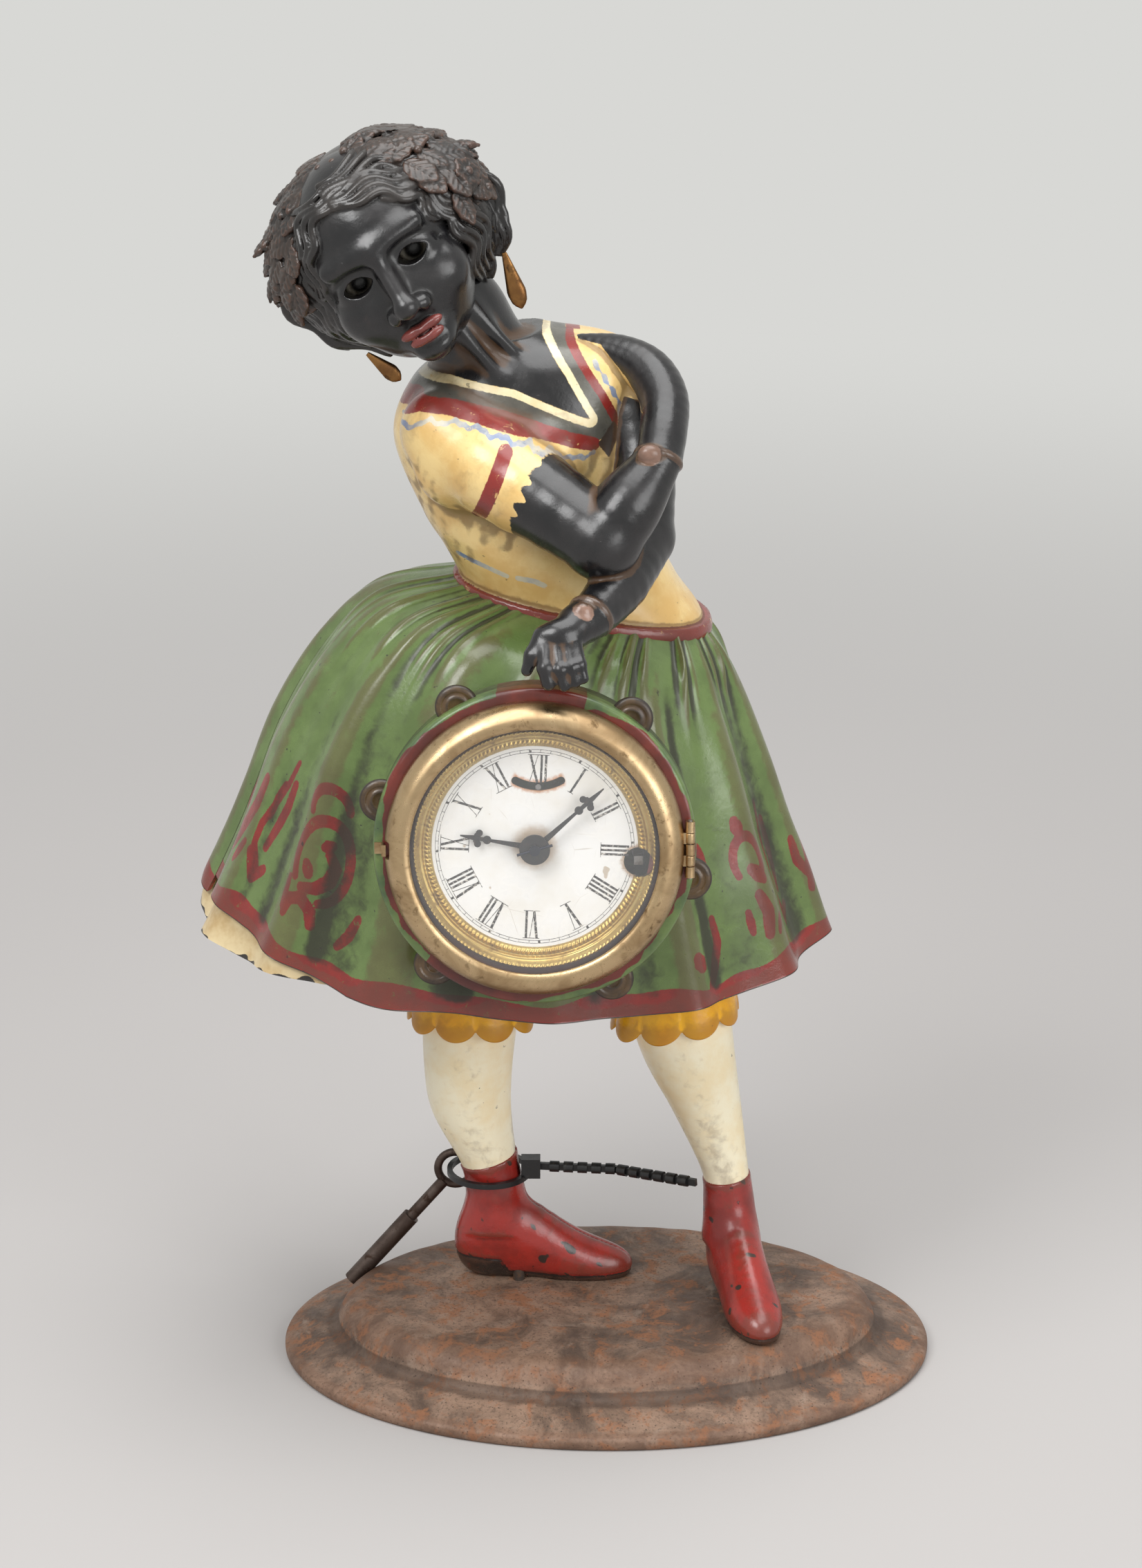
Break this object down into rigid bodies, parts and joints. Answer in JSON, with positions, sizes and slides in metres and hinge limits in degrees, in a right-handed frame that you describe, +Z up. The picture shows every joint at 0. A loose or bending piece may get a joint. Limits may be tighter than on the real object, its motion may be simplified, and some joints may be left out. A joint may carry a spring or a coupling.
{
  "type": "figural table clock",
  "caption": "Painted cast-iron figural clock: a dancing woman with a tambourine dial on an oval base, rocking eyes, a hinged brass bezel and a winding key tied to the ankle.",
  "frame": {"origin": "on the ground under the middle of the outline", "axes": "+X to the viewer's right, front faces -Y, +Z up"},
  "size_m": [0.2472, 0.1579, 0.4179],
  "materials": {
    "iron": "rusted bare iron",
    "enamel_paint": "worn enamel paint on cast iron",
    "brass": "tarnished brass",
    "gilt": "gilt brass",
    "white_enamel": "aged white enamel",
    "glass": "clear glass",
    "blued_steel": "black steel",
    "steel": "dark worn steel",
    "black_plastic": "moulded black plastic"
  },
  "bodies": {
    "figure": {"base": "iron", "front_casting": "enamel_paint", "back_casting": "enamel_paint", "hinge_leaf": "brass", "hinge_pin": "brass", "bezel_catch": "brass", "front_plate": "brass", "back_plate": "brass", "balance_bridge": "brass", "hairspring_stud": "brass", "eye_bracket": "brass", "wire_guide": "brass", "dial_ring": "gilt", "dial": "white_enamel", "pillars": "steel", "movement_feet": "steel", "plate_nuts": "steel", "mainspring": "steel", "spring_stud": "steel", "hairspring": "steel", "bridge_screws": "steel", "casting_screws": "steel", "base_screws": "steel", "key_tie": "black_plastic"},
    "bezel_body": {"bezel": "brass", "bezel_glass": "glass"},
    "minute_body": {"minute_hand": "blued_steel", "cannon_pinion": "brass", "hand_collet": "blued_steel", "taper_pin": "steel"},
    "hour_body": {"hour_hand": "blued_steel", "hour_wheel": "brass"},
    "minute_wheel_body": {"minute_wheel": "brass"},
    "fourth_body": {"fourth_wheel": "brass"},
    "escape_body": {"escape_wheel": "brass"},
    "third_body": {"third_wheel": "brass"},
    "centre_body": {"centre_wheel": "brass"},
    "great_body": {"great_wheel": "brass", "click": "steel", "click_spring": "steel"},
    "winding_body": {"winding_arbor": "steel", "ratchet": "brass"},
    "balance_body": {"balance": "brass"},
    "lever_body": {"lever": "steel"},
    "wire_body": {"eye_wire": "steel"},
    "eye_body": {"eye_rocker": "blued_steel"},
    "regulator_body": {"regulator": "steel"},
    "key_body": {"key": "steel"}
  },
  "joints": [
    {"name": "bezel_open", "type": "hinge", "parent": "figure", "child": "bezel_body", "pos_m": [0.039, -0.06938, 0.20641], "axis": [0, 0.1219, 0.9925], "range_deg": [0, 110]},
    {"name": "minute_turn", "type": "hinge", "parent": "figure", "child": "minute_body", "pos_m": [-0.0094, -0.0263, 0.20112], "axis": [0, 0.9925, -0.1219], "continuous": true},
    {"name": "hour_turn", "type": "hinge", "parent": "figure", "child": "hour_body", "pos_m": [-0.0094, -0.0263, 0.20112], "axis": [0, 0.9925, -0.1219], "continuous": true},
    {"name": "minute_wheel_turn", "type": "hinge", "parent": "figure", "child": "minute_wheel_body", "pos_m": [-0.0034, -0.02756, 0.19081], "axis": [0, 0.9925, -0.1219], "continuous": true},
    {"name": "fourth_turn", "type": "hinge", "parent": "figure", "child": "fourth_body", "pos_m": [-0.0242, -0.02432, 0.21726], "axis": [0, 0.9925, -0.1219], "continuous": true},
    {"name": "escape_turn", "type": "hinge", "parent": "figure", "child": "escape_body", "pos_m": [-0.0252, -0.02292, 0.22862], "axis": [0, 0.9925, -0.1219], "continuous": true},
    {"name": "third_turn", "type": "hinge", "parent": "figure", "child": "third_body", "pos_m": [-0.02535, -0.02596, 0.20391], "axis": [0, 0.9925, -0.1219], "continuous": true},
    {"name": "centre_turn", "type": "hinge", "parent": "figure", "child": "centre_body", "pos_m": [-0.0094, -0.0263, 0.20112], "axis": [0, 0.9925, -0.1219], "continuous": true},
    {"name": "great_turn", "type": "hinge", "parent": "figure", "child": "great_body", "pos_m": [0.023, -0.02687, 0.19646], "axis": [0, 0.9925, -0.1219], "continuous": true},
    {"name": "winding_turn", "type": "hinge", "parent": "figure", "child": "winding_body", "pos_m": [0.023, -0.02687, 0.19646], "axis": [0, 0.9925, -0.1219], "continuous": true},
    {"name": "balance_swing", "type": "hinge", "parent": "figure", "child": "balance_body", "pos_m": [-0.0083, -0.00033, 0.23209], "axis": [0, 0.9925, -0.1219], "range_deg": [-90, 90]},
    {"name": "lever_swing", "type": "hinge", "parent": "figure", "child": "lever_body", "pos_m": [-0.0188, -0.00476, 0.22881], "axis": [0, 0.9925, -0.1219], "range_deg": [-8.1, 8.1]},
    {"name": "eye_wire_slide", "type": "slide", "parent": "figure", "child": "wire_body", "axis": [0, 0, 1], "range_m": [-0.00106, 0.00106]},
    {"name": "eye_rock", "type": "hinge", "parent": "figure", "child": "eye_body", "pos_m": [-0.05537, -0.009, 0.37898], "axis": [0.8387, 0, 0.5446], "range_deg": [-6.7, 6.7]},
    {"name": "regulator_swing", "type": "hinge", "parent": "figure", "child": "regulator_body", "pos_m": [-0.0083, -0.03309, 0.23611], "axis": [0, 0.9925, -0.1219], "range_deg": [-18, 18]},
    {"name": "key_swing", "type": "hinge", "parent": "figure", "child": "key_body", "pos_m": [-0.0378, 0.02265, 0.058], "axis": [0, 1, 0], "range_deg": [0, 30]}
  ],
  "couplings": [
    {"joint": "hour_turn", "follows": "minute_turn", "ratio": 0.083333},
    {"joint": "minute_wheel_turn", "follows": "minute_turn", "ratio": -0.33333},
    {"joint": "escape_turn", "follows": "fourth_turn", "ratio": -7.5},
    {"joint": "third_turn", "follows": "fourth_turn", "ratio": -0.125},
    {"joint": "centre_turn", "follows": "fourth_turn", "ratio": 0.015625},
    {"joint": "great_turn", "follows": "fourth_turn", "ratio": -0.0039062},
    {"joint": "balance_swing", "follows": "eye_wire_slide", "rad_per_m": -1480.3},
    {"joint": "lever_swing", "follows": "eye_wire_slide", "rad_per_m": 131.58},
    {"joint": "eye_rock", "follows": "eye_wire_slide", "rad_per_m": 109.63}
  ]
}
